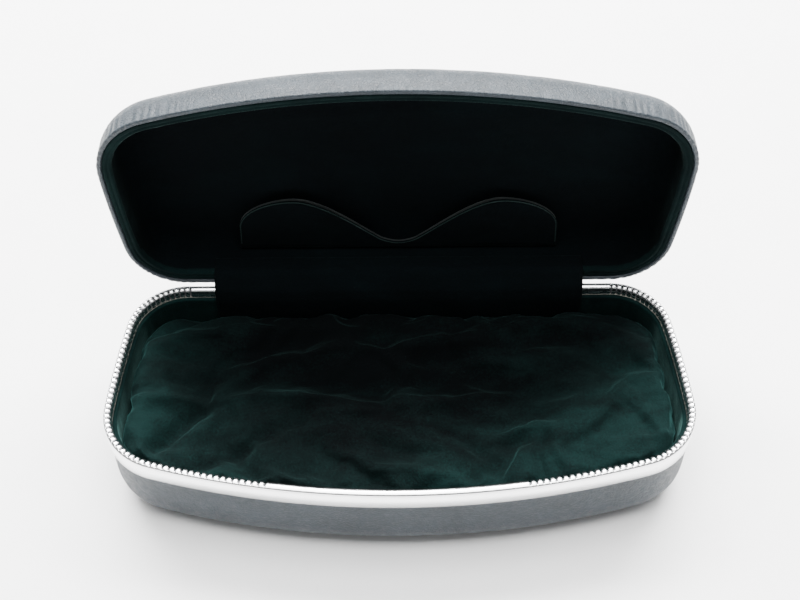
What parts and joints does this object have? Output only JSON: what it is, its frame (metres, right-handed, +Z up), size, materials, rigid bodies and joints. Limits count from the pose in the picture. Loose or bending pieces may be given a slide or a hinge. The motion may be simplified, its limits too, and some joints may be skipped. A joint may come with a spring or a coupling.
{
  "type": "pen case",
  "caption": "Hinged clamshell pen case: velvet-lined padded base with a bright notched rim, domed leatherette lid with an inner pocket flap.",
  "frame": {"origin": "middle of the flat underside of the base, under the middle of the base's depth", "axes": "+X along the case's length, +Y from the front towards the hinge, +Z up"},
  "size_m": [0.1594, 0.0881, 0.1012],
  "materials": {
    "leatherette": "fine grain, satin",
    "rim_metal": "bright satin",
    "hinge_steel": "plain",
    "shell_steel": "plain sheet",
    "card": "plain card",
    "velvet": "dark green velvet",
    "foam": "soft foam",
    "edging": "thin light edging"
  },
  "bodies": {
    "base": {"base_shell": "shell_steel", "base_leatherette": "leatherette", "base_rim": "rim_metal", "base_lining_card": "card", "base_lining_velvet": "velvet", "pad_cover": "velvet", "pad_foam": "foam", "pad_board": "card", "hinge_leaf_base": "hinge_steel", "hinge_pin": "hinge_steel", "base_rivet_left": "hinge_steel", "base_rivet_right": "hinge_steel", "hinge_cover_base": "velvet"},
    "lid": {"hinge_leaf_lid": "hinge_steel", "lid_rivet_left": "hinge_steel", "lid_rivet_right": "hinge_steel", "lid_leatherette": "leatherette", "lid_shell": "shell_steel", "lid_lining_card": "card", "lid_lip_frame": "velvet", "lid_lining_velvet": "velvet", "pocket_velvet": "velvet", "pocket_board": "card", "pocket_edging": "edging", "pocket_side_left": "velvet", "pocket_side_right": "velvet", "hinge_cover_lid": "velvet"}
  },
  "joints": [
    {"name": "lid_hinge", "type": "hinge", "parent": "base", "child": "lid", "pos_m": [0, 0.03585, 0.0296], "axis": [1, 0, 0], "range_deg": [0, 90.9]}
  ]
}
